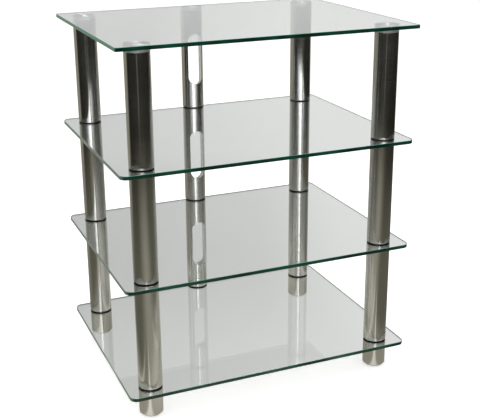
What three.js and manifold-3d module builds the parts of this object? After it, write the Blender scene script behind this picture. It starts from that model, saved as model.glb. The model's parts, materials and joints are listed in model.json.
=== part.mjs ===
// Audio equipment rack: four clear glass shelves on four steel corner columns, with a fifth,
// slotted column behind them that takes the cables.
//
// Millimetres, +Z up. The origin is on the floor under the middle of the whole rack, cable column
// included. The front of the rack faces -Y, and its right side, seen from the front, is at +X.

import * as THREE from 'three';
import { mergeVertices } from 'three/addons/utils/BufferGeometryUtils.js';
import Module from 'manifold-3d';

const wasm = await Module();
wasm.setup();

// Glass shelves
const shelfWidth = 660;
const shelfDepth = 500;
const glassThickness = 8;
const lowerCornerRadius = 16;
const topCornerRadius = 5;

// Columns
const tubeDiameter = 52;
const tubeWall = 2;
const tubeLength = 231.5;
const columnInsetSide = 55;
const columnInsetFront = 45;
const plugThickness = 12;

// Rubber grommets between glass and steel: each has a rim above the glass, a sleeve through the
// hole and a rim below the glass
const rimAbove = 2;
const rimBelow = 1.5;
const rimInset = 0.5;
const sleeveWall = 3;

// Studs that join one column tube to the next
const studDiameter = 10;
const studEngagement = 11;

// Discs bonded to the underside of the top shelf
const discHeight = 8;

// Cable column
const ductBore = 30;
const ductSleeveDiameter = 36;
const spigotHeight = 8;
const slotWidth = 34;
const slotLength = 116;
const backSlotWidth = 44;
const backSlotLength = 150;

// Feet
const footLength = 50.5;
const footMouthDepth = 16;
const nutPlateThickness = 10;

// Levelling glides
const padDiameter = 42;
const padHeight = 10;
const padShowing = 6;
const padFloorThickness = 4;
const spindleDiameter = 10;
const spindleLength = 34.5;
const spannerFlats = 17;
const spannerCollarHeight = 6;

// Running and fitting clearance between two pieces, and how far a cut runs past what it cuts
const clearance = 0.3;
const overrun = 5;

// Facets round each kind of turned piece
const tubeSides = 24;
const trimSides = 16;
const rodSides = 12;
const hexSides = 6;
const cornerSteps = 6;
const slotEndSteps = 8;

// Sizes that follow
const tubeRadius = tubeDiameter / 2;
const tubeBoreRadius = tubeRadius - tubeWall;
const rimRadius = tubeRadius - rimInset;
const studRadius = studDiameter / 2;
const studHoleRadius = studRadius + clearance;
const sleeveRadius = studHoleRadius + sleeveWall;
const glassHoleRadius = sleeveRadius + clearance;
const spindleRadius = spindleDiameter / 2;
const spindleHoleRadius = spindleRadius + clearance;
const spigotRadius = tubeBoreRadius - clearance;
const ductSleeveRadius = ductSleeveDiameter / 2;
const notchRadius = ductSleeveRadius + clearance;

// Heights, from the floor up
const spindleBase = padFloorThickness + clearance;
const footBase = padShowing;
const bottomGlassBase = footBase + footLength + rimBelow;
const bayPitch = glassThickness + rimAbove + tubeLength + rimBelow;
const lowerGlassBase = bottomGlassBase + bayPitch;
const upperGlassBase = lowerGlassBase + bayPitch;
const topDiscBase = upperGlassBase + glassThickness + rimAbove + tubeLength;
const topGlassBase = topDiscBase + discHeight;

// Plan places of the columns, from the middle of the glass
const cornerX = shelfWidth / 2 - columnInsetSide;
const cornerY = shelfDepth / 2 - columnInsetFront;
const corners = [
  { name: 'front_left', x: -cornerX, y: -cornerY },
  { name: 'front_right', x: cornerX, y: -cornerY },
  { name: 'rear_left', x: -cornerX, y: cornerY },
  { name: 'rear_right', x: cornerX, y: cornerY },
];
const duct = { x: 0, y: shelfDepth / 2 };

// The glass that has columns passing through it, and the tubes that stand on each
const drilledShelves = [
  { name: 'bottom', base: bottomGlassBase, tube: 'bottom' },
  { name: 'lower', base: lowerGlassBase, tube: 'middle' },
  { name: 'upper', base: upperGlassBase, tube: 'top' },
];

const clearGlass = { color: 0xdfeae6, roughness: 0.04, metalness: 0 };
const satinSteel = { color: 0x9c9990, roughness: 0.28, metalness: 1 };
const turnedAluminium = { color: 0xc4c6c8, roughness: 0.32, metalness: 1 };
const zincSteel = { color: 0x8f9194, roughness: 0.45, metalness: 1 };
const blackRubber = { color: 0x161818, roughness: 0.75, metalness: 0 };

// The glass lies forward of the origin by half of what the cable column stands out behind it.
const rack = new THREE.Group();
const standOut = duct.y + tubeRadius - shelfDepth / 2;
rack.position.y = -standOut / 2;

// Adds one named piece with a material of its own.
function addPiece(name, geometry, finish, x, y, z) {
  const material = new THREE.MeshStandardMaterial({ ...finish, flatShading: true });
  const mesh = new THREE.Mesh(geometry, material);
  mesh.name = name;
  mesh.position.set(x, y, z);
  rack.add(mesh);
}

// Keeps only the positions and joins the corners that coincide.
function welded(geometry) {
  geometry.deleteAttribute('normal');
  geometry.deleteAttribute('uv');
  return mergeVertices(geometry);
}

// A piece turned about Z. The profile lists [radius, height] pairs with the metal on its left;
// it starts and ends on the axis, or it closes on itself round a bore.
function turned(profile, sides) {
  const onAxis = profile[0][0] === 0;
  const path = onAxis ? profile : [...profile, profile[0]];
  const points = path.map(([radius, height]) => new THREE.Vector2(radius, height));
  const geometry = new THREE.LatheGeometry(points, sides);
  geometry.rotateX(Math.PI / 2);
  return welded(geometry);
}

function toManifold(geometry) {
  const index = geometry.index.array;
  const triangles = [];
  for (let i = 0; i < index.length; i += 3) {
    const [a, b, c] = [index[i], index[i + 1], index[i + 2]];
    if (a !== b && b !== c && c !== a) {
      triangles.push(a, b, c);
    }
  }
  return new wasm.Manifold(new wasm.Mesh({
    numProp: 3,
    vertProperties: new Float32Array(geometry.attributes.position.array),
    triVerts: new Uint32Array(triangles),
  }));
}

function fromManifold(manifold) {
  const mesh = manifold.getMesh();
  const geometry = new THREE.BufferGeometry();
  geometry.setAttribute('position', new THREE.BufferAttribute(mesh.vertProperties, 3));
  geometry.setIndex(new THREE.BufferAttribute(mesh.triVerts, 1));
  return geometry;
}

// Glass

// A rounded rectangle, with a half-round notch for the cable column when one is asked for.
function shelfOutline(cornerRadius, notched) {
  const arcX = shelfWidth / 2 - cornerRadius;
  const arcY = shelfDepth / 2 - cornerRadius;
  const quarter = Math.PI / 2;
  const outline = new THREE.Shape();
  outline.moveTo(-arcX, -shelfDepth / 2);
  outline.absarc(arcX, -arcY, cornerRadius, -quarter, 0);
  outline.absarc(arcX, arcY, cornerRadius, 0, quarter);
  if (notched) {
    outline.lineTo(duct.x + notchRadius, duct.y);
    outline.absarc(duct.x, duct.y, notchRadius, 0, -Math.PI, true);
  }
  outline.absarc(-arcX, arcY, cornerRadius, quarter, quarter * 2);
  outline.absarc(-arcX, -arcY, cornerRadius, quarter * 2, quarter * 3);
  return outline;
}

function shelf(cornerRadius, drilled) {
  const outline = shelfOutline(cornerRadius, drilled);
  if (drilled) {
    for (const corner of corners) {
      const hole = new THREE.Path();
      hole.absarc(corner.x, corner.y, glassHoleRadius, 0, Math.PI * 2);
      outline.holes.push(hole);
    }
  }
  return welded(new THREE.ExtrudeGeometry(outline, {
    depth: glassThickness,
    bevelEnabled: false,
    curveSegments: cornerSteps,
  }));
}

// Corner columns

// A steel tube with a plug pressed into each end, and a tapped hole through each plug.
function columnTube() {
  return turned([
    [studHoleRadius, 0],
    [tubeRadius, 0],
    [tubeRadius, tubeLength],
    [studHoleRadius, tubeLength],
    [studHoleRadius, tubeLength - plugThickness],
    [tubeBoreRadius, tubeLength - plugThickness],
    [tubeBoreRadius, plugThickness],
    [studHoleRadius, plugThickness],
  ], tubeSides);
}

function cornerGrommet() {
  return turned([
    [studHoleRadius, -rimBelow],
    [rimRadius, -rimBelow],
    [rimRadius, 0],
    [sleeveRadius, 0],
    [sleeveRadius, glassThickness],
    [rimRadius, glassThickness],
    [rimRadius, glassThickness + rimAbove],
    [studHoleRadius, glassThickness + rimAbove],
  ], trimSides);
}

// A plain stud that reaches into the plug below the glass and the plug above it.
function joiningStud() {
  const reach = rimBelow + studEngagement;
  return turned([
    [0, -reach],
    [studRadius, -reach],
    [studRadius, glassThickness + rimAbove + studEngagement],
    [0, glassThickness + rimAbove + studEngagement],
  ], rodSides);
}

// The disc under the top glass, with the stem that goes into the top of a column.
function glassDisc(stemRadius, stemLength) {
  return turned([
    [0, -stemLength],
    [stemRadius, -stemLength],
    [stemRadius, 0],
    [tubeRadius, 0],
    [tubeRadius, discHeight],
    [0, discHeight],
  ], tubeSides);
}

// Feet

// A short tube with a nut plate inside it and, on its closed top, the stud that goes up
// through the bottom shelf.
function footTube() {
  const studTop = footLength + rimBelow + glassThickness + rimAbove + studEngagement;
  const nutPlateTop = footMouthDepth + nutPlateThickness;
  return turned([
    [0, footLength - plugThickness],
    [tubeBoreRadius, footLength - plugThickness],
    [tubeBoreRadius, nutPlateTop],
    [spindleHoleRadius, nutPlateTop],
    [spindleHoleRadius, footMouthDepth],
    [tubeBoreRadius, footMouthDepth],
    [tubeBoreRadius, 0],
    [tubeRadius, 0],
    [tubeRadius, footLength],
    [studRadius, footLength],
    [studRadius, studTop],
    [0, studTop],
  ], tubeSides);
}

// The round pad that stands on the floor, with a blind socket for the spindle.
function levellingPad() {
  const padRadius = padDiameter / 2;
  return turned([
    [0, 0],
    [padRadius, 0],
    [padRadius, padHeight],
    [spindleHoleRadius, padHeight],
    [spindleHoleRadius, padFloorThickness],
    [0, padFloorThickness],
  ], tubeSides);
}

// The screw that turns in the pad: a rod with a six-sided collar for a spanner just above it.
function levellingSpindle() {
  const rod = turned([
    [0, 0],
    [spindleRadius, 0],
    [spindleRadius, spindleLength],
    [0, spindleLength],
  ], rodSides);
  const hexRadius = spannerFlats / 2 / Math.cos(Math.PI / hexSides);
  const collarBase = padHeight - padFloorThickness;
  const collar = turned([
    [0, collarBase],
    [hexRadius, collarBase],
    [hexRadius, collarBase + spannerCollarHeight],
    [0, collarBase + spannerCollarHeight],
  ], hexSides);
  return fromManifold(toManifold(rod).add(toManifold(collar)));
}

// Cable column

// The round-ended block that cuts a slot at the tube's mid height, from its axis out forward.
function slotCutter(width, length) {
  const endRadius = width / 2;
  const upperEnd = (tubeLength + length) / 2 - endRadius;
  const lowerEnd = (tubeLength - length) / 2 + endRadius;
  const outline = new THREE.Shape();
  outline.moveTo(endRadius, lowerEnd);
  outline.lineTo(endRadius, upperEnd);
  outline.absarc(0, upperEnd, endRadius, 0, Math.PI);
  outline.lineTo(-endRadius, lowerEnd);
  outline.absarc(0, lowerEnd, endRadius, Math.PI, Math.PI * 2);
  const cutter = new THREE.ExtrudeGeometry(outline, {
    depth: tubeRadius + overrun,
    bevelEnabled: false,
    curveSegments: slotEndSteps,
  });
  cutter.rotateX(Math.PI / 2);
  return cutter;
}

// An open tube with a long slot in its front wall, and behind that a larger one in its back
// wall, where the cables are laid in.
function ductTube() {
  const tube = turned([
    [tubeBoreRadius, 0],
    [tubeRadius, 0],
    [tubeRadius, tubeLength],
    [tubeBoreRadius, tubeLength],
  ], tubeSides);
  const frontCut = slotCutter(slotWidth, slotLength);
  const backCut = slotCutter(backSlotWidth, backSlotLength);
  backCut.rotateZ(Math.PI);
  const slotted = toManifold(tube)
    .subtract(toManifold(welded(frontCut)))
    .subtract(toManifold(welded(backCut)));
  return fromManifold(slotted);
}

// The hollow bush that sits in the notch of the glass, with a spigot up into the tube above
// and, where a tube hangs below, a spigot down into that one.
function ductBush(tubeBelow) {
  const boreRadius = ductBore / 2;
  const top = glassThickness + rimAbove;
  const lowerSpigot = [
    [boreRadius, -rimBelow - spigotHeight],
    [spigotRadius, -rimBelow - spigotHeight],
    [spigotRadius, -rimBelow],
  ];
  return turned([
    ...(tubeBelow ? lowerSpigot : [[boreRadius, -rimBelow]]),
    [rimRadius, -rimBelow],
    [rimRadius, 0],
    [ductSleeveRadius, 0],
    [ductSleeveRadius, glassThickness],
    [rimRadius, glassThickness],
    [rimRadius, top],
    [spigotRadius, top],
    [spigotRadius, top + spigotHeight],
    [boreRadius, top + spigotHeight],
  ], trimSides);
}

// Assembly

for (const glass of drilledShelves) {
  const slab = shelf(lowerCornerRadius, true);
  addPiece(`glass_shelf_${glass.name}`, slab, clearGlass, 0, 0, glass.base);
}
addPiece('glass_shelf_top', shelf(topCornerRadius, false), clearGlass, 0, 0, topGlassBase);

for (const corner of corners) {
  const { name, x, y } = corner;
  addPiece(`levelling_pad_${name}`, levellingPad(), zincSteel, x, y, 0);
  addPiece(`levelling_spindle_${name}`, levellingSpindle(), zincSteel, x, y, spindleBase);
  addPiece(`foot_tube_${name}`, footTube(), satinSteel, x, y, footBase);
  for (const glass of drilledShelves) {
    const tubeBase = glass.base + glassThickness + rimAbove;
    addPiece(`grommet_${name}_${glass.name}`, cornerGrommet(), blackRubber, x, y, glass.base);
    addPiece(`column_tube_${name}_${glass.tube}`, columnTube(), satinSteel, x, y, tubeBase);
    if (glass.base > bottomGlassBase) {
      addPiece(`joining_stud_${name}_${glass.name}`, joiningStud(), zincSteel, x, y, glass.base);
    }
  }
  const cornerDisc = glassDisc(studRadius, studEngagement);
  addPiece(`glass_disc_${name}`, cornerDisc, turnedAluminium, x, y, topDiscBase);
}

for (const glass of drilledShelves) {
  const tubeBase = glass.base + glassThickness + rimAbove;
  const tubeBelow = glass.base > bottomGlassBase;
  addPiece(`cable_bush_${glass.name}`, ductBush(tubeBelow), blackRubber, duct.x, duct.y, glass.base);
  addPiece(`cable_tube_${glass.tube}`, ductTube(), satinSteel, duct.x, duct.y, tubeBase);
}
const cableDisc = glassDisc(spigotRadius, spigotHeight);
addPiece('glass_disc_cable_column', cableDisc, turnedAluminium, duct.x, duct.y, topDiscBase);

export default rack;
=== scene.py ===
import json
import math

import bmesh
import bpy
from mathutils import Matrix, Quaternion, Vector

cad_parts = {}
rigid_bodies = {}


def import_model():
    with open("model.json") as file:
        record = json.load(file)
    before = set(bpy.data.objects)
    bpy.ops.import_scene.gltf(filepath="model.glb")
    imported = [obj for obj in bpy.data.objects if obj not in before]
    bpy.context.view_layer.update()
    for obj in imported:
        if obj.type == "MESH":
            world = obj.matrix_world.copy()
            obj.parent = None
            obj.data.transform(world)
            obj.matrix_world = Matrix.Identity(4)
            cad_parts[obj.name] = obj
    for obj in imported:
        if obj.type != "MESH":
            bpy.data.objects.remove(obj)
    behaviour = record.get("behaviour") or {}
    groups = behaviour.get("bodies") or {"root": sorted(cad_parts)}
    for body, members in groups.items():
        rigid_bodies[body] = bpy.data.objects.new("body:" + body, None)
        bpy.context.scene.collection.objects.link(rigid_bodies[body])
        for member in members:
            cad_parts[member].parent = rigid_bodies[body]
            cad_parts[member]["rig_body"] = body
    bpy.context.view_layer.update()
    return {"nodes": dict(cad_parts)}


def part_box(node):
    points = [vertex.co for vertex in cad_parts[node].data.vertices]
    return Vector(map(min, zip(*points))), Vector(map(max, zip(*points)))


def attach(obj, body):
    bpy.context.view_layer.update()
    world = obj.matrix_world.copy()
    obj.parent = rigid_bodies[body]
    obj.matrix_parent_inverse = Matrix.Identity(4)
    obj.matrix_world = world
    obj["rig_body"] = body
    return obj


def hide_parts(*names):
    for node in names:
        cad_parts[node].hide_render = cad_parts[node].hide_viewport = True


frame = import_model()
scene = bpy.context.scene
scene.view_settings.view_transform = "Standard"

MM = 0.001
CORNERS = ("front_left", "front_right", "rear_left", "rear_right")
TUBES = ("bottom", "middle", "top")
DRILLED = ("bottom", "lower", "upper")

# Sizes in millimetres that the boxes of the solids don't give
glass = 8
glass_arris = 0.7
top_corner = 5
lower_corner = 16
hole_radius = 8.6
notch_radius = 18.3
tube_bore = 24
bore_skin = 0.2    # faces this near the bore take its finish
tube_edge = 0.5
stud_hole = 5.3
stud_radius = 5
plug = 12
slot_width, slot_length = 34, 116
back_slot_width, back_slot_length = 44, 150
slot_flat = 0.01    # left between the round corners of a slot's end, so that they don't meet
slot_edge = 0.3
rim_above = 2
rim_below = 1.5
rubber_edge = 0.35
sleeve = 8.3
duct_bore = 15
duct_sleeve = 18
spigot = 23.7
spigot_height = 8
disc = 8
disc_edge = 0.6
foot_length = 50.5
nut_plate_low, nut_plate_high = 16, 26
pad_rim = 1
pad_foot = 1.2
pad_recess = 4
pad_edge = 0.3
hexagon_low, hexagon_high = 6, 12
hexagon_edge = 0.4
thread_start = 12.5
thread_runout = 0.5
thread_pitch = 1.5
thread_root = 4.2
root_shares = (0.45, 0.55)    # of each pitch, where the root of the thread starts and ends
seat = 0.06    # drawn between faces that touch, so that neither flickers through the other
weld = 0.001    # corners nearer than this become one

# Faces round a piece
metal_steps = 96
rubber_steps = 72
hole_steps = 64
thread_steps = 32


# Camera

# Fitted to the edges in the photograph, in pixels, degrees and millimetres
image_width = 480
focal_pixels = 948.9
lens_rise = 22
sensor_width = 36
standpoint = {"azimuth": -22.602, "elevation": 18.371, "roll": -0.432, "distance": 2236.2}
looks_at = Vector((30.16, 8.39, 400.0)) * MM


def direction(azimuth, elevation):
    """From the rack towards a point that lies that many degrees round from the front and up."""
    around, up = math.radians(azimuth), math.radians(elevation)
    return Vector((math.sin(around) * math.cos(up), -math.cos(around) * math.cos(up), math.sin(up)))


def add_camera():
    camera = bpy.data.objects.new("camera", bpy.data.cameras.new("camera"))
    back = direction(standpoint["azimuth"], standpoint["elevation"])
    camera.location = looks_at + back * standpoint["distance"] * MM
    camera.rotation_mode = "QUATERNION"
    level = (-back).to_track_quat("-Z", "Y")
    camera.rotation_quaternion = level @ Quaternion((0, 0, 1), math.radians(standpoint["roll"]))
    camera.data.sensor_width = sensor_width
    camera.data.lens = focal_pixels * sensor_width / image_width
    camera.data.shift_y = -lens_rise / image_width
    scene.collection.objects.link(camera)
    scene.camera = camera


add_camera()


# Finishes

EASED = {"interpolation_type": "SMOOTHSTEP"}    # a soft start and a soft end


def linear(hex_colour):
    """An sRGB hex colour in the linear values that the sockets take."""
    values = [int(hex_colour[i:i + 2], 16) / 255 for i in (1, 3, 5)]
    return (*[v / 12.92 if v <= 0.04045 else ((v + 0.055) / 1.055) ** 2.4 for v in values], 1.0)


def add(tree, kind, settings=(), inputs=()):
    """Adds one node. An input takes a plain value or another node's output."""
    made = tree.nodes.new("ShaderNode" + kind)
    for name, value in dict(settings).items():
        setattr(made, name, value)
    for name, value in dict(inputs).items():
        if isinstance(value, bpy.types.NodeSocket):
            tree.links.new(value, made.inputs[name])
        else:
            made.inputs[name].default_value = value
    return made.outputs


def new_material(name):
    material = bpy.data.materials.new(name)
    material.use_nodes = True
    material.node_tree.nodes.clear()
    return material, material.node_tree


def float_glass():
    """Clear float glass, 8 mm: nearly colourless through the faces, with a trace of iron green,
    and polished flat but for faint wiping marks."""
    material, tree = new_material("float_glass")
    place = add(tree, "TexCoord")["Object"]
    wiped = add(tree, "TexNoise", (), {"Vector": place, "Scale": 1 / (90 * MM), "Detail": 3.0})["Fac"]
    rough = add(tree, "MapRange", (), {
        "Value": wiped, "From Min": 0.35, "From Max": 0.75, "To Min": 0.0, "To Max": 0.035})["Result"]
    body = add(tree, "MixRGB", (), {
        "Fac": wiped, "Color1": linear("#f1f5f3"), "Color2": linear("#f6f8f7")})["Color"]
    shader = add(tree, "BsdfPrincipled", (), {
        "Base Color": body, "Roughness": rough, "IOR": 1.52, "Transmission Weight": 1.0})["BSDF"]
    add(tree, "OutputMaterial", (), {"Surface": shader})
    return material


def polished_edge():
    """Flat polished edge of float glass, drawn opaque with its light painted on: the light that is caught
    inside the sheet leaves it here after a long way through the iron-green body, so it is painted a deep
    bottle green with darker reaches of painted shade, and the ground arrises that face up carry a painted
    paler highlight line. The left and right ends of the sheets are painted greyer, for the light that
    reaches them from far along the sheet."""
    material, tree = new_material("polished_glass_edge")
    place = add(tree, "TexCoord")["Object"]
    facing = add(tree, "SeparateXYZ", (), {"Vector": add(tree, "NewGeometry")["Normal"]})
    reach = add(tree, "Mapping", (), {
        "Vector": place, "Scale": (1 / (70 * MM), 1 / (70 * MM), 1 / (400 * MM))})["Vector"]
    patches = add(tree, "TexNoise", (), {"Vector": reach, "Scale": 1.0, "Detail": 2.0})["Fac"]
    # Painted shade: darker reaches along the edge, where less of the caught light leaves it
    depth = add(tree, "MapRange", (), {"Value": patches, "From Min": 0.4, "From Max": 0.62})["Result"]
    green = add(tree, "MixRGB", (), {
        "Fac": depth, "Color1": linear("#072a20"), "Color2": linear("#0e4637")})["Color"]
    # Painted light: the ends of the top shelf are painted greener than those below it
    height = add(tree, "SeparateXYZ", (), {"Vector": place})["Z"]
    painted_top_shelf_light = add(tree, "MapRange", (), {"Value": height, "From Min": 0.6, "From Max": 0.7})["Result"]
    end = add(tree, "MixRGB", (), {
        "Fac": painted_top_shelf_light, "Color1": linear("#757c78"), "Color2": linear("#4f8474")})["Color"]
    # Painted light: the left and right ends of each sheet are painted greyer
    across = add(tree, "Math", {"operation": "ABSOLUTE"}, {0: facing["X"]})[0]
    at_end = add(tree, "MapRange", (), {"Value": across, "From Min": 0.6, "From Max": 1.0})["Result"]
    sided = add(tree, "MixRGB", (), {"Fac": at_end, "Color1": green, "Color2": end})["Color"]
    # Painted highlight: faces that turn upwards, the arrises, are painted a paler green
    painted_arris_highlight = add(tree, "MapRange", (), {"Value": facing["Z"], "From Min": 0.1, "From Max": 0.6})["Result"]
    body = add(tree, "MixRGB", (), {"Fac": painted_arris_highlight, "Color1": sided, "Color2": linear("#5aa08c")})["Color"]
    shader = add(tree, "BsdfPrincipled", (), {"Base Color": body, "Roughness": 0.12, "IOR": 1.52})["BSDF"]
    add(tree, "OutputMaterial", (), {"Surface": shader})
    return material


def satin_steel():
    """Stainless tube, ground on a belt round its girth and satin polished: the fine rings of the
    grain draw every light out into a soft streak along the tube."""
    material, tree = new_material("satin_stainless_steel")
    place = add(tree, "TexCoord")["Object"]
    # The grain is about 0.1 mm wide, and is drawn 2 mm wide so that it shows
    rings = add(tree, "Mapping", (), {
        "Vector": place, "Scale": (1 / (80 * MM), 1 / (80 * MM), 1 / (2 * MM))})["Vector"]
    grain = add(tree, "TexNoise", (), {"Vector": rings, "Scale": 1.0, "Detail": 4.0})["Fac"]
    handled = add(tree, "TexNoise", (), {"Vector": place, "Scale": 1 / (45 * MM), "Detail": 2.0})["Fac"]
    tone = add(tree, "MixRGB", (), {
        "Fac": grain, "Color1": linear("#c1c1bf"), "Color2": linear("#cacac9")})["Color"]
    worn = add(tree, "Math", {"operation": "ADD"}, {0: grain, 1: handled})[0]
    rough = add(tree, "MapRange", (), {
        "Value": worn, "From Min": 0.6, "From Max": 1.4, "To Min": 0.14, "To Max": 0.18})["Result"]
    girth = add(tree, "Tangent", {"direction_type": "RADIAL", "axis": "Z"})["Tangent"]
    shader = add(tree, "BsdfPrincipled", (), {
        "Base Color": tone, "Metallic": 1.0, "Roughness": rough,
        "Anisotropic": 0.6, "Anisotropic Rotation": 0.25, "Tangent": girth})["BSDF"]
    add(tree, "OutputMaterial", (), {"Surface": shader})
    return material


def light_painted_bore():
    """The inside of the cable tubes, matt and painted pale: a painted brightness that stands in for the
    light seen through the slots, so that through them it reads as nearly white.
    """
    material, tree = new_material("bore_with_painted_light")
    place = add(tree, "TexCoord")["Object"]
    clouds = add(tree, "TexNoise", (), {"Vector": place, "Scale": 1 / (12 * MM), "Detail": 3.0})["Fac"]
    tone = add(tree, "MixRGB", (), {
        "Fac": clouds, "Color1": linear("#e9e9e6"), "Color2": linear("#f6f6f4")})["Color"]
    rough = add(tree, "MapRange", (), {"Value": clouds, "To Min": 0.5, "To Max": 0.7})["Result"]
    shader = add(tree, "BsdfPrincipled", (), {"Base Color": tone, "Roughness": rough})["BSDF"]
    add(tree, "OutputMaterial", (), {"Surface": shader})
    return material


def turned_aluminium():
    """Aluminium turned on a lathe and left bright: the tool's rings give a clear glint that runs
    from the middle of the face to its rim."""
    material, tree = new_material("turned_aluminium")
    place = add(tree, "TexCoord")["Object"]
    clouds = add(tree, "TexNoise", (), {"Vector": place, "Scale": 1 / (6 * MM), "Detail": 3.0})["Fac"]
    tone = add(tree, "MixRGB", (), {
        "Fac": clouds, "Color1": linear("#dcdddf"), "Color2": linear("#ececee")})["Color"]
    rough = add(tree, "MapRange", (), {"Value": clouds, "To Min": 0.46, "To Max": 0.54})["Result"]
    rings = add(tree, "Tangent", {"direction_type": "RADIAL", "axis": "Z"})["Tangent"]
    shader = add(tree, "BsdfPrincipled", (), {
        "Base Color": tone, "Metallic": 1.0, "Roughness": rough,
        "Anisotropic": 0.9, "Anisotropic Rotation": 0.25, "Tangent": rings})["BSDF"]
    add(tree, "OutputMaterial", (), {"Surface": shader})
    return material


def black_rubber():
    """Moulded black rubber: matt and nearly black, with a little bloom and dust that greys it."""
    material, tree = new_material("moulded_black_rubber")
    place = add(tree, "TexCoord")["Object"]
    bloom = add(tree, "TexNoise", (), {"Vector": place, "Scale": 1 / (9 * MM), "Detail": 5.0})["Fac"]
    tone = add(tree, "MixRGB", (), {
        "Fac": bloom, "Color1": linear("#0c0d0d"), "Color2": linear("#232423")})["Color"]
    rough = add(tree, "MapRange", (), {"Value": bloom, "To Min": 0.5, "To Max": 0.75})["Result"]
    skin = add(tree, "TexNoise", (), {"Vector": place, "Scale": 1 / (0.6 * MM), "Detail": 2.0})["Fac"]
    bump = add(tree, "Bump", (), {"Height": skin, "Strength": 0.2, "Distance": 0.03 * MM})["Normal"]
    shader = add(tree, "BsdfPrincipled", (), {
        "Base Color": tone, "Roughness": rough, "Normal": bump})["BSDF"]
    add(tree, "OutputMaterial", (), {"Surface": shader})
    return material


def zinc_steel():
    """Bright zinc plate on machined steel: cooler and duller than the tubes, with faint clouds."""
    material, tree = new_material("zinc_plated_steel")
    place = add(tree, "TexCoord")["Object"]
    clouds = add(tree, "TexNoise", (), {"Vector": place, "Scale": 1 / (5 * MM), "Detail": 4.0})["Fac"]
    tone = add(tree, "MixRGB", (), {
        "Fac": clouds, "Color1": linear("#a5a8aa"), "Color2": linear("#c3c3bd")})["Color"]
    rough = add(tree, "MapRange", (), {"Value": clouds, "To Min": 0.34, "To Max": 0.5})["Result"]
    shader = add(tree, "BsdfPrincipled", (), {
        "Base Color": tone, "Metallic": 1.0, "Roughness": rough})["BSDF"]
    add(tree, "OutputMaterial", (), {"Surface": shader})
    return material


GLASS = float_glass()
EDGE = polished_edge()
STEEL = satin_steel()
BORE = light_painted_bore()
ALUMINIUM = turned_aluminium()
RUBBER = black_rubber()
ZINC = zinc_steel()


# Shaping

def stands(node):
    """Where a turned solid stands: the foot of its axis in metres, and its radius and height in
    millimetres."""
    lo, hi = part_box(node)
    foot = Vector(((lo.x + hi.x) / 2, (lo.y + hi.y) / 2, lo.z))
    return foot, (hi.x - lo.x) / 2 / MM, (hi.z - lo.z) / MM


sharp_angle = math.radians(40)
level_share = 0.99    # a face is level when its normal points up or down by at least this share


def sharp_edges(bm):
    return [e for e in bm.edges if len(e.link_faces) == 2 and e.calc_face_angle() > sharp_angle]


def is_level(face):
    return abs(face.normal.z) > level_share


def bevel(bm, edges, radius, segments):
    bmesh.ops.bevel(bm, geom=edges, offset=radius * MM, offset_type="OFFSET", affect="EDGES",
                    segments=segments, profile=0.5, material=-1)


def rounded(bm, radius, segments=4):
    """Takes the sharp edges off a turned or cut piece."""
    bevel(bm, sharp_edges(bm), radius, segments)
    return bm


def block(outline, push):
    """A flat outline pushed out into a block, all in metres."""
    bm = bmesh.new()
    base = bm.faces.new([bm.verts.new(corner) for corner in outline])
    pushed = bmesh.ops.extrude_face_region(bm, geom=[base])["geom"]
    bmesh.ops.translate(bm, vec=push, verts=[v for v in pushed if isinstance(v, bmesh.types.BMVert)])
    bmesh.ops.recalc_face_normals(bm, faces=bm.faces)
    return bm


def turned(foot, profile, steps=metal_steps):
    """Spins a profile of (radius, height) in millimetres about the upright axis through foot.
    It starts and ends on the axis, or it closes on itself round a bore."""
    bm = bmesh.new()
    points = [bm.verts.new(foot + Vector((radius, 0, height)) * MM) for radius, height in profile]
    edges = [bm.edges.new(pair) for pair in zip(points, points[1:])]
    if profile[0][0] > 0:
        edges.append(bm.edges.new((points[-1], points[0])))
    bmesh.ops.spin(bm, geom=points + edges, cent=foot, axis=(0, 0, 1), angle=math.tau, steps=steps,
                   use_merge=True)
    bmesh.ops.remove_doubles(bm, verts=bm.verts, dist=weld * MM)
    bmesh.ops.recalc_face_normals(bm, faces=bm.faces)
    return bm


def cut(blank, tool):
    """What is left of the blank once the tool has been cut out of it. Both are used up."""
    parts = []
    for bm in (blank, tool):
        mesh = bpy.data.meshes.new("part")
        bm.to_mesh(mesh)
        bm.free()
        parts.append(bpy.data.objects.new("part", mesh))
        scene.collection.objects.link(parts[-1])
    modifier = parts[0].modifiers.new("cut", "BOOLEAN")
    modifier.operation = "DIFFERENCE"
    modifier.solver = "EXACT"
    modifier.object = parts[1]
    left = bmesh.new()
    left.from_mesh(parts[0].evaluated_get(bpy.context.evaluated_depsgraph_get()).data)
    for part in parts:
        bpy.data.objects.remove(part)
    bmesh.ops.remove_doubles(left, verts=left.verts, dist=weld * MM)
    return left


def place_piece(name, bm, finishes, node):
    """Makes the piece that stands for a solid, with its finishes, has it ride where the solid rides and
    hides the solid.
    """
    mesh = bpy.data.meshes.new(name)
    bm.to_mesh(mesh)
    bm.free()
    for finish in finishes:
        mesh.materials.append(finish)
    mesh.shade_smooth()
    mesh.set_sharp_from_angle(angle=math.radians(10))
    piece = bpy.data.objects.new(name, mesh)
    scene.collection.objects.link(piece)
    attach(piece, frame["nodes"][node]["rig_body"])
    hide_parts(node)


# Glass shelves

def column_holes(height):
    """The round cutters for the holes on the column axes and the notch for the cable column."""
    cutters = bmesh.new()
    holes = [(f"column_tube_{corner}_bottom", hole_radius) for corner in CORNERS]
    for tube, radius in holes + [("cable_tube_bottom", notch_radius)]:
        foot = stands(tube)[0]
        bmesh.ops.create_cone(cutters, cap_ends=True, segments=hole_steps, radius1=radius * MM,
                              radius2=radius * MM, depth=4 * glass * MM,
                              matrix=Matrix.Translation((foot.x, foot.y, height)))
    return cutters


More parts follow.
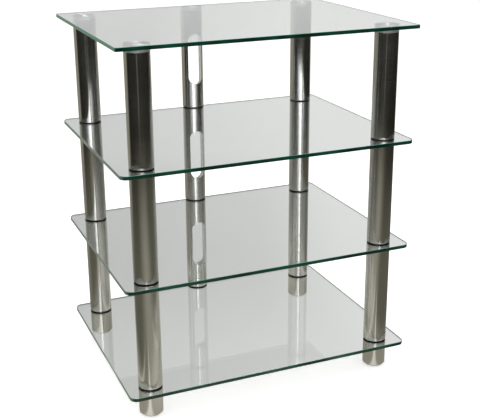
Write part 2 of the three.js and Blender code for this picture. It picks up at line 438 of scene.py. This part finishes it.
def shelf(node, corner_radius, drilled):
    lo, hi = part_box(node)
    outline = [(x, y, lo.z) for x, y in ((lo.x, lo.y), (hi.x, lo.y), (hi.x, hi.y), (lo.x, hi.y))]
    bm = block(outline, (0, 0, hi.z - lo.z))
    upright = [e for e in bm.edges if abs(e.verts[0].co.z - e.verts[1].co.z) > MM]
    bevel(bm, upright, corner_radius, segments=18)
    if drilled:
        bm = cut(bm, column_holes((lo.z + hi.z) / 2))
    arrises = [e for e in sharp_edges(bm) if any(is_level(face) for face in e.link_faces)]
    bevel(bm, arrises, glass_arris, segments=2)
    # The two level faces are clear, and all else is polished edge
    for face in bm.faces:
        face.material_index = 0 if is_level(face) else 1
    return bm


for level in (*DRILLED, "top"):
    node = f"glass_shelf_{level}"
    drilled = level in DRILLED
    corner_radius = lower_corner if drilled else top_corner
    place_piece(f"shelf_{level}", shelf(node, corner_radius, drilled), (GLASS, EDGE), node)


# Columns

def column_tube(node):
    foot, outer, length = stands(node)
    return rounded(turned(foot, [
        (stud_hole, 0), (outer, 0), (outer, length), (stud_hole, length), (stud_hole, length - plug),
        (tube_bore, length - plug), (tube_bore, plug), (stud_hole, plug)]), tube_edge)


def corner_grommet(node):
    foot, rim, height = stands(node)
    glass_top = rim_below + glass
    return rounded(turned(foot, [
        (stud_hole, seat), (rim, seat), (rim, rim_below - seat), (sleeve, rim_below - seat),
        (sleeve, glass_top + seat), (rim, glass_top + seat), (rim, height - seat),
        (stud_hole, height - seat)], rubber_steps), rubber_edge)


def slot_block(foot, outer, height, width, length, side):
    """The round-ended block that cuts a slot at mid height, from the tube's axis out to one side."""
    half, low, high = width / 2, (height - length) / 2, (height + length) / 2
    outline = [foot + Vector((x, 0, z)) * MM
               for x, z in ((-half, low), (half, low), (half, high), (-half, high))]
    bm = block(outline, (0, side * 2 * outer * MM, 0))
    through = [e for e in bm.edges if abs(e.verts[0].co.y - e.verts[1].co.y) > MM]
    bevel(bm, through, half - slot_flat, segments=24)
    return bm


def cable_tube(node):
    foot, outer, length = stands(node)
    tube = turned(foot, [(tube_bore, 0), (outer, 0), (outer, length), (tube_bore, length)])
    tube = cut(tube, slot_block(foot, outer, length, slot_width, slot_length, -1))
    tube = cut(tube, slot_block(foot, outer, length, back_slot_width, back_slot_length, 1))
    tube = rounded(tube, slot_edge, segments=2)
    for face in tube.faces:
        middle = face.calc_center_median() - foot
        face.material_index = 1 if math.hypot(middle.x, middle.y) < (tube_bore + bore_skin) * MM else 0
    return tube


def cable_bush(node, tube_below):
    foot, rim, _ = stands(node)
    drop = spigot_height if tube_below else 0
    glass_base = drop + rim_below
    glass_top = glass_base + glass
    top = glass_top + rim_above
    below = [(duct_bore, 0), (spigot, 0), (spigot, drop + seat)] if tube_below else [(duct_bore, seat)]
    return rounded(turned(foot, below + [
        (rim, drop + seat), (rim, glass_base - seat), (duct_sleeve, glass_base - seat),
        (duct_sleeve, glass_top + seat), (rim, glass_top + seat), (rim, top - seat),
        (spigot, top - seat), (spigot, top + spigot_height), (duct_bore, top + spigot_height)],
        rubber_steps), rubber_edge)


def glass_disc(node, stem_radius):
    foot, outer, height = stands(node)
    underside, top = height - disc + seat, height - seat
    return rounded(turned(foot, [
        (0, 0), (stem_radius, 0), (stem_radius, underside), (outer, underside), (outer, top), (0, top)]),
        disc_edge)


for corner in CORNERS:
    for level in TUBES:
        node = f"column_tube_{corner}_{level}"
        place_piece(f"satin_tube_{corner}_{level}", column_tube(node), (STEEL,), node)
    for level in DRILLED:
        node = f"grommet_{corner}_{level}"
        place_piece(f"rubber_ring_{corner}_{level}", corner_grommet(node), (RUBBER,), node)
    for level in DRILLED[1:]:
        stud = frame["nodes"][f"joining_stud_{corner}_{level}"]
        stud.data.materials.clear()
        stud.data.materials.append(ZINC)
    node = f"glass_disc_{corner}"
    place_piece(f"turned_disc_{corner}", glass_disc(node, stud_radius), (ALUMINIUM,),
                node)

for tube_level, bush_level in zip(TUBES, DRILLED):
    node = f"cable_tube_{tube_level}"
    place_piece(f"slotted_tube_{tube_level}", cable_tube(node), (STEEL, BORE), node)
    node = f"cable_bush_{bush_level}"
    tube_below = bush_level != "bottom"
    place_piece(f"rubber_bush_{bush_level}", cable_bush(node, tube_below), (RUBBER,), node)
node = "glass_disc_cable_column"
place_piece("turned_disc_cable_column", glass_disc(node, spigot), (ALUMINIUM,), node)


# Feet

def foot_tube(node):
    foot, outer, stud_top = stands(node)
    return rounded(turned(foot, [
        (0, foot_length - plug), (tube_bore, foot_length - plug), (tube_bore, nut_plate_high),
        (stud_hole, nut_plate_high), (stud_hole, nut_plate_low), (tube_bore, nut_plate_low),
        (tube_bore, 0), (outer, 0), (outer, foot_length), (stud_radius, foot_length),
        (stud_radius, stud_top), (0, stud_top)]), tube_edge)


def levelling_pad(node):
    foot, outer, top = stands(node)
    return rounded(turned(foot, [
        (0, 0), (outer - pad_rim, 0), (outer, pad_foot), (outer, top - pad_rim), (outer - pad_rim, top),
        (stud_hole, top), (stud_hole, pad_recess), (0, pad_recess)]), pad_edge)


def levelling_spindle(node):
    foot, radius, length = stands(node)
    rod = [(0, 0), (stud_radius, 0), (stud_radius, thread_start)]
    turns = int((length - thread_start - thread_runout) / thread_pitch)
    for turn in range(turns):
        base = thread_start + turn * thread_pitch
        rod += [(thread_root, base + thread_pitch * share) for share in root_shares]
        rod.append((stud_radius, base + thread_pitch))
    bm = turned(foot, rod + [(thread_root, length), (0, length)], thread_steps)
    middle = Vector((0, 0, (hexagon_low + hexagon_high) / 2)) * MM
    hexagon = bmesh.ops.create_cone(bm, cap_ends=True, segments=6, radius1=radius * MM,
                                    radius2=radius * MM, depth=(hexagon_high - hexagon_low) * MM,
                                    matrix=Matrix.Translation(foot + middle))
    edges = {e for v in hexagon["verts"] for e in v.link_edges}
    bevel(bm, list(edges), hexagon_edge, segments=2)
    return bm


for corner in CORNERS:
    for piece, made, finish, slot, solid in (
            ("short_tube", foot_tube, STEEL, "satin_steel", "foot_tube"),
            ("glide", levelling_pad, ZINC, "zinc_steel", "levelling_pad"),
            ("screw", levelling_spindle, ZINC, "zinc_steel", "levelling_spindle")):
        node = f"{solid}_{corner}"
        place_piece(f"{piece}_{corner}", made(node), (finish,), node)


# Studio

# Distances in metres. The photograph's line of sight runs over the floor towards away.
away = direction(standpoint["azimuth"], 0) * -1
right = Vector((away.y, -away.x, 0))
near_foot, far_foot = 0.175, 0.333    # how far the two feet on each side stand off that line
glint_lamp = direction(110, 70)    # the way to the lamp that gives the discs their glint
across_panel = direction(76, 0)    # level, and square to the way from the rack to the panel
floor_drop = 0.0005
floor_reach = 60


def mirrored(tree, ray):
    """One for a ray that has glanced off metal or glass on its way, nought for any other and for
    the fill light on matt faces."""
    glanced = add(tree, "Math", {"operation": "MINIMUM"}, {0: ray["Glossy Depth"], 1: 1.0})[0]
    return add(tree, "Math", {"operation": "SUBTRACT", "use_clamp": True}, {
        0: glanced, 1: ray["Is Diffuse Ray"]})[0]


def mirrored_floor(tree, behind, aside, far):
    """The floor as metal and glass mirror it: lit paper behind the rack, a pool of light round its
    feet with a bright line to each, a strip in front, and the dark end of the room past them."""
    right_only = add(tree, "Math", {"operation": "MAXIMUM"}, {0: aside, 1: 0.0})[0]
    border = add(tree, "Math", {"operation": "MULTIPLY_ADD"}, {0: right_only, 1: -0.84, 2: behind})[0]
    lit_behind = add(tree, "MapRange", EASED, {
        "Value": border, "From Min": -0.6, "From Max": 0.5, "To Min": 0.0, "To Max": 0.4})["Result"]
    # The pool
    pool = add(tree, "MapRange", EASED, {
        "Value": far, "From Min": 2.5, "From Max": 0.9, "To Min": 0.02, "To Max": 0.18})["Result"]
    feet = add(tree, "MapRange", EASED, {
        "Value": far, "From Min": 0.62, "From Max": 0.42, "To Min": 0.0, "To Max": 0.26})["Result"]
    pool = add(tree, "Math", {"operation": "ADD"}, {0: pool, 1: feet})[0]
    # The lines to the feet, on both sides alike
    off_line = add(tree, "Math", {"operation": "ABSOLUTE"}, {0: aside})[0]
    between = add(tree, "Math", {"operation": "SUBTRACT"}, {0: off_line, 1: (near_foot + far_foot) / 2})[0]
    between = add(tree, "Math", {"operation": "ABSOLUTE"}, {0: between})[0]
    beside = add(tree, "Math", {"operation": "SUBTRACT"}, {0: between, 1: (far_foot - near_foot) / 2})[0]
    beside = add(tree, "Math", {"operation": "ABSOLUTE"}, {0: beside})[0]
    line = add(tree, "MapRange", EASED, {
        "Value": beside, "From Min": 0.028, "From Max": 0.006, "To Min": 0.0, "To Max": 0.55})["Result"]
    line_end = add(tree, "MapRange", EASED, {"Value": far, "From Min": 0.75, "From Max": 0.55})["Result"]
    line = add(tree, "Math", {"operation": "MULTIPLY"}, {0: line, 1: line_end})[0]
    pool = add(tree, "Math", {"operation": "ADD"}, {0: pool, 1: line})[0]
    # A streak far out in front, and a strip that spreads from the rack towards it
    streak = add(tree, "MapRange", EASED, {
        "Value": off_line, "From Min": 0.22, "From Max": 0.06, "To Min": 0.0, "To Max": 0.3})["Result"]
    streak_start = add(tree, "MapRange", EASED, {
        "Value": behind, "From Min": -2.4, "From Max": -3.4})["Result"]
    streak = add(tree, "Math", {"operation": "MULTIPLY"}, {0: streak, 1: streak_start})[0]
    pool = add(tree, "Math", {"operation": "ADD"}, {0: pool, 1: streak})[0]
    spread = add(tree, "Math", {"operation": "DIVIDE"}, {0: off_line, 1: far})[0]
    strip = add(tree, "MapRange", EASED, {
        "Value": spread, "From Min": 0.75, "From Max": 0.05, "To Min": 0.0, "To Max": 0.26})["Result"]
    strip_end = add(tree, "MapRange", EASED, {
        "Value": behind, "From Min": -2.3, "From Max": -1.4})["Result"]
    strip = add(tree, "Math", {"operation": "MULTIPLY"}, {0: strip, 1: strip_end})[0]
    pool = add(tree, "Math", {"operation": "ADD"}, {0: pool, 1: strip})[0]
    light = add(tree, "Math", {"operation": "MAXIMUM"}, {0: pool, 1: lit_behind})[0]
    hue = add(tree, "MixRGB", (), {
        "Fac": light, "Color1": linear("#ece8c8"), "Color2": linear("#fff9ef")})["Color"]
    return add(tree, "Emission", (), {"Color": hue, "Strength": light})["Emission"]


def floor_through_glass(tree, behind, aside):
    """The floor as it shows through the glass: grey, paler to the right and further back, with a
    greyer patch behind the rack and another far off to the left."""
    light = add(tree, "MapRange", (), {
        "Value": aside, "From Min": -0.45, "From Max": 0.4, "To Min": 0.71, "To Max": 1.0})["Result"]
    paler = add(tree, "MapRange", (), {
        "Value": behind, "From Min": 0.5, "From Max": 4.0, "To Min": 0.76, "To Max": 0.86})["Result"]
    light = add(tree, "Math", {"operation": "MULTIPLY"}, {0: light, 1: paler})[0]
    off_patch = add(tree, "Math", {"operation": "SUBTRACT"}, {0: behind, 1: 0.8})[0]
    off_patch = add(tree, "Math", {"operation": "ABSOLUTE"}, {0: off_patch})[0]
    patch = add(tree, "MapRange", EASED, {
        "Value": off_patch, "From Min": 0.95, "From Max": 0.35, "To Min": 0.0, "To Max": 0.17})["Result"]
    patch_side = add(tree, "MapRange", EASED, {
        "Value": aside, "From Min": 0.36, "From Max": 0.06})["Result"]
    far_left = add(tree, "MapRange", EASED, {
        "Value": aside, "From Min": -0.3, "From Max": -0.75, "To Min": 0.0, "To Max": 0.24})["Result"]
    far_back = add(tree, "MapRange", EASED, {
        "Value": behind, "From Min": 1.2, "From Max": 3.4})["Result"]
    far_left = add(tree, "Math", {"operation": "MULTIPLY"}, {0: far_left, 1: far_back})[0]
    greyed = add(tree, "Math", {"operation": "MULTIPLY_ADD"}, {0: patch, 1: patch_side, 2: far_left})[0]
    kept = add(tree, "Math", {"operation": "SUBTRACT"}, {0: 1.0, 1: greyed})[0]
    light = add(tree, "Math", {"operation": "MULTIPLY"}, {0: light, 1: kept})[0]
    return add(tree, "Emission", (), {"Color": linear("#fffefd"), "Strength": light})["Emission"]


def paper_sweep():
    """White paper. Seen straight on it burns out to white but for the rack's shadow, and the two
    functions above give it through the glass and as it is mirrored."""
    material, tree = new_material("paper_sweep")
    material.cycles.emission_sampling = "NONE"
    place = add(tree, "TexCoord")["Object"]
    ray = add(tree, "LightPath")
    behind = add(tree, "VectorMath", {"operation": "DOT_PRODUCT"}, {0: place, 1: away})["Value"]
    aside = add(tree, "VectorMath", {"operation": "DOT_PRODUCT"}, {0: place, 1: right})["Value"]
    far = add(tree, "VectorMath", {"operation": "LENGTH"}, {0: place})["Value"]
    paper = add(tree, "BsdfDiffuse", (), {"Color": linear("#e4e4e2")})["BSDF"]
    lit = add(tree, "Emission", (), {"Color": linear("#ffffff"), "Strength": 0.6})["Emission"]
    burnt_out = add(tree, "AddShader", (), {0: paper, 1: lit})[0]
    plain = add(tree, "MixShader", (), {0: ray["Is Camera Ray"], 1: paper, 2: burnt_out})[0]
    shown = add(tree, "MixShader", (), {
        0: ray["Is Transmission Ray"], 1: plain, 2: floor_through_glass(tree, behind, aside)})[0]
    surface = add(tree, "MixShader", (), {
        0: mirrored(tree, ray), 1: shown, 2: mirrored_floor(tree, behind, aside, far)})[0]
    add(tree, "OutputMaterial", (), {"Surface": surface})
    return material


def studio_floor():
    bm = bmesh.new()
    bmesh.ops.create_grid(bm, x_segments=1, y_segments=1, size=floor_reach,
                          matrix=Matrix.Translation((0, 0, -floor_drop)))
    mesh = bpy.data.meshes.new("studio_floor")
    bm.to_mesh(mesh)
    bm.free()
    mesh.materials.append(paper_sweep())
    floor = bpy.data.objects.new("studio_floor", mesh)
    scene.collection.objects.link(floor)


def mirrored_walls(tree, ray, heading, behind):
    """The walls as metal and glass mirror them: pale behind the rack and dark in front of it."""
    wall = add(tree, "MapRange", EASED, {
        "Value": behind, "From Min": -0.1, "From Max": 0.8, "To Min": 0.03, "To Max": 0.86})["Result"]
    # After one glance the room is pale all round, which keeps the glass light. The dark walls show
    # after two, in steel that mirrors a shelf.
    once = add(tree, "MapRange", (), {
        "Value": ray["Glossy Depth"], "From Min": 1.0, "From Max": 2.0,
        "To Min": 0.55, "To Max": 0.0})["Result"]
    wall = add(tree, "Math", {"operation": "MAXIMUM"}, {0: wall, 1: once})[0]
    # Up through the glass the discs see it dark but for a lamp high over the rack: their glint
    to_lamp = add(tree, "VectorMath", {"operation": "DOT_PRODUCT"}, {0: heading, 1: glint_lamp})["Value"]
    lamp = add(tree, "MapRange", EASED, {
        "Value": to_lamp, "From Min": 0.975, "From Max": 0.99, "To Min": 0.0, "To Max": 9.0})["Result"]
    through = add(tree, "MapRange", (), {
        "Value": ray["Transmission Depth"], "From Min": 2.0, "From Max": 4.0})["Result"]
    return add(tree, "Mix", (), {0: through, 2: wall, 3: lamp})[0]


def mirrored_panel(tree, heading, behind):
    """A bright panel behind the camera, broad low down and narrow further up, and the pale top of
    the room round it."""
    height = add(tree, "SeparateXYZ", (), {"Vector": heading})["Z"]
    above = add(tree, "MapRange", EASED, {"Value": height, "From Min": 0.06, "From Max": 0.16})["Result"]
    fading = add(tree, "MapRange", (), {
        "Value": height, "From Min": 0.19, "From Max": 0.37, "To Min": 1.0, "To Max": 0.85})["Result"]
    half_width = add(tree, "MapRange", (), {
        "Value": height, "From Min": 0.19, "From Max": 0.33, "To Min": 0.46, "To Max": 0.14})["Result"]
    off_line = add(tree, "VectorMath", {"operation": "DOT_PRODUCT"}, {0: heading, 1: across_panel})["Value"]
    off_line = add(tree, "Math", {"operation": "ABSOLUTE"}, {0: off_line})[0]
    off_line = add(tree, "Math", {"operation": "DIVIDE"}, {0: off_line, 1: half_width})[0]
    middle = add(tree, "MapRange", EASED, {"Value": off_line, "From Min": 1.9, "From Max": 0.1})["Result"]
    panel = add(tree, "Math", {"operation": "MULTIPLY"}, {0: middle, 1: fading})[0]
    panel = add(tree, "Math", {"operation": "MULTIPLY"}, {0: panel, 1: above})[0]
    pale_top = add(tree, "MapRange", EASED, {
        "Value": height, "From Min": 0.24, "From Max": 0.4, "To Min": 0.0, "To Max": 0.2})["Result"]
    panel = add(tree, "Math", {"operation": "MAXIMUM"}, {0: panel, 1: pale_top})[0]
    in_front = add(tree, "MapRange", EASED, {"Value": behind, "From Min": 0.3, "From Max": -0.3})["Result"]
    return add(tree, "Math", {"operation": "MULTIPLY"}, {0: panel, 1: in_front})[0]


def studio_room():
    """White to the eye and through the glass, and a little less as fill light. Metal and the faces
    of the glass mirror the walls and the panel instead."""
    world = bpy.data.worlds.new("studio_room")
    world.use_nodes = True
    world.cycles.sampling_method = "NONE"
    tree = world.node_tree
    tree.nodes.clear()
    ray = add(tree, "LightPath")
    heading = add(tree, "TexCoord")["Generated"]
    behind = add(tree, "VectorMath", {"operation": "DOT_PRODUCT"}, {0: heading, 1: away})["Value"]
    wall = mirrored_walls(tree, ray, heading, behind)
    # The panel is strong only where the steel mirrors the shelf that mirrors it
    twice = add(tree, "MapRange", (), {
        "Value": ray["Glossy Depth"], "From Min": 1.0, "From Max": 2.0,
        "To Min": 0.4, "To Max": 6.0})["Result"]
    light = add(tree, "Math", {"operation": "MULTIPLY_ADD"}, {
        0: mirrored_panel(tree, heading, behind), 1: twice, 2: wall})[0]
    room = add(tree, "Background", (), {"Color": linear("#f9fafa"), "Strength": light})["Background"]
    fill = add(tree, "Background", (), {"Color": linear("#ffffff"), "Strength": 0.7})["Background"]
    white = add(tree, "Background", (), {"Color": linear("#ffffff"), "Strength": 1.0})["Background"]
    shown = add(tree, "Math", {"operation": "MAXIMUM"}, {
        0: ray["Is Camera Ray"], 1: ray["Is Transmission Ray"]})[0]
    plain = add(tree, "MixShader", (), {0: shown, 1: fill, 2: white})[0]
    surface = add(tree, "MixShader", (), {0: mirrored(tree, ray), 1: plain, 2: room})[0]
    add(tree, "OutputWorld", (), {"Surface": surface})
    scene.world = world


def overhead_lamp():
    """A broad soft lamp over the rack. It lights the pieces but isn't mirrored, so that the glass
    doesn't whiten from above."""
    lamp = bpy.data.objects.new("lamp_overhead", bpy.data.lights.new("lamp_overhead", "AREA"))
    lamp.data.shape = "RECTANGLE"
    lamp.data.size = 2.4
    lamp.data.size_y = 2.0
    lamp.data.energy = 40
    lamp.visible_glossy = False
    mid_height = Vector((0, 0, 0.4))
    distance = 2.6
    lamp.location = mid_height + direction(azimuth=0, elevation=82) * distance
    lamp.rotation_euler = (mid_height - lamp.location).to_track_quat("-Z", "Y").to_euler()
    scene.collection.objects.link(lamp)


studio_floor()
studio_room()
overhead_lamp()
